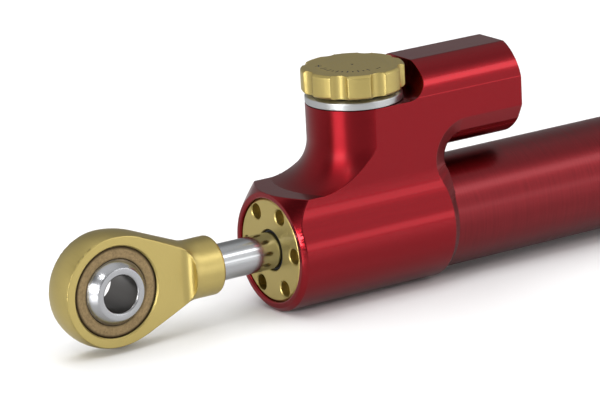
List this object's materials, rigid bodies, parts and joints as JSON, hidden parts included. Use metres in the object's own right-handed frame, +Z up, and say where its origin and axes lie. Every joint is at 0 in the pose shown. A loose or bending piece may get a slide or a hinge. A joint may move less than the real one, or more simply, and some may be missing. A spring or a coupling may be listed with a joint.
{
  "type": "motorcycle steering damper",
  "caption": "Linear hydraulic steering damper with a spherical rod end, a milled body with a click adjuster knob, a raised gas reservoir barrel and a long round tube.",
  "frame": {"origin": "under the middle of the whole damper, at the height of the lowest point of the body", "axes": "+X along the rod from the rod end towards the rear of the tube, +Z up through the adjusting knob, Y across"},
  "size_m": [0.1612, 0.027, 0.0503],
  "materials": {
    "red_gloss": "machined and gloss red anodised",
    "red_satin": "fine turned and satin red anodised",
    "gold": "turned and gold anodised",
    "bronze": "satin bronze",
    "chrome": "hard chromed, ground and polished",
    "steel": "fine turned",
    "silver": "turned, clear anodised",
    "aluminium": "turned",
    "brass": "turned",
    "rubber": "moulded",
    "polymer": "filled sliding polymer"
  },
  "bodies": {
    "cylinder": {"housing": "red_gloss", "outer_tube": "red_satin", "inner_cylinder": "steel", "end_cap": "gold", "end_cap_o_ring": "rubber", "gland_cap": "gold", "gland_o_ring": "rubber", "rod_wiper": "rubber", "rod_seal": "rubber", "guide_bush": "bronze", "valve_cartridge": "silver", "cartridge_o_ring": "rubber", "reservoir_plug": "gold", "reservoir_plug_o_ring": "rubber", "charge_screw": "steel", "detent_spring": "steel"},
    "band": {"piston_band": "polymer"},
    "rod": {"piston_rod": "chrome", "piston": "aluminium", "piston_washer": "steel", "piston_nut": "steel", "rod_end": "gold", "bearing_race": "bronze"},
    "ball": {"bearing_ball": "chrome"},
    "adjuster": {"knob": "gold", "knob_grub_screw": "steel", "spindle": "steel", "spindle_o_ring": "rubber"},
    "needle": {"needle": "brass"},
    "floating_piston": {"reservoir_piston": "aluminium", "reservoir_piston_o_ring": "rubber"},
    "detent_ball": {"detent_ball": "chrome"}
  },
  "joints": [
    {"name": "rod_slide", "type": "slide", "parent": "cylinder", "child": "band", "axis": [1, 0, 0], "range_m": [-0.06, 0.01]},
    {"name": "rod_spin", "type": "hinge", "parent": "band", "child": "rod", "pos_m": [-0.06809, 0, 0.01354], "axis": [1, 0, 0], "continuous": true},
    {"name": "ball_turn", "type": "hinge", "parent": "rod", "child": "ball", "pos_m": [-0.06809, 0, 0.01354], "axis": [0, 1, 0], "continuous": true},
    {"name": "knob_turn", "type": "hinge", "parent": "cylinder", "child": "adjuster", "pos_m": [-0.00415, 0, 0.04504], "axis": [0, 0, 1], "range_deg": [-165, 165]},
    {"name": "needle_slide", "type": "slide", "parent": "cylinder", "child": "needle", "axis": [0, 0, 1], "range_m": [-0.00046, 0.00046]},
    {"name": "reservoir_piston_slide", "type": "slide", "parent": "cylinder", "child": "floating_piston", "axis": [1, 0, 0], "range_m": [-0.0124, 0.0021]},
    {"name": "detent_ball_slide", "type": "slide", "parent": "cylinder", "child": "detent_ball", "axis": [0, 0, 1], "range_m": [0, 0.0003], "stiffness_N_per_m": 200, "deforming": ["detent_spring"]}
  ],
  "couplings": [
    {"joint": "needle_slide", "follows": "knob_turn", "m_per_rad": 0.00015915},
    {"joint": "reservoir_piston_slide", "follows": "rod_slide", "ratio": 0.20661}
  ]
}
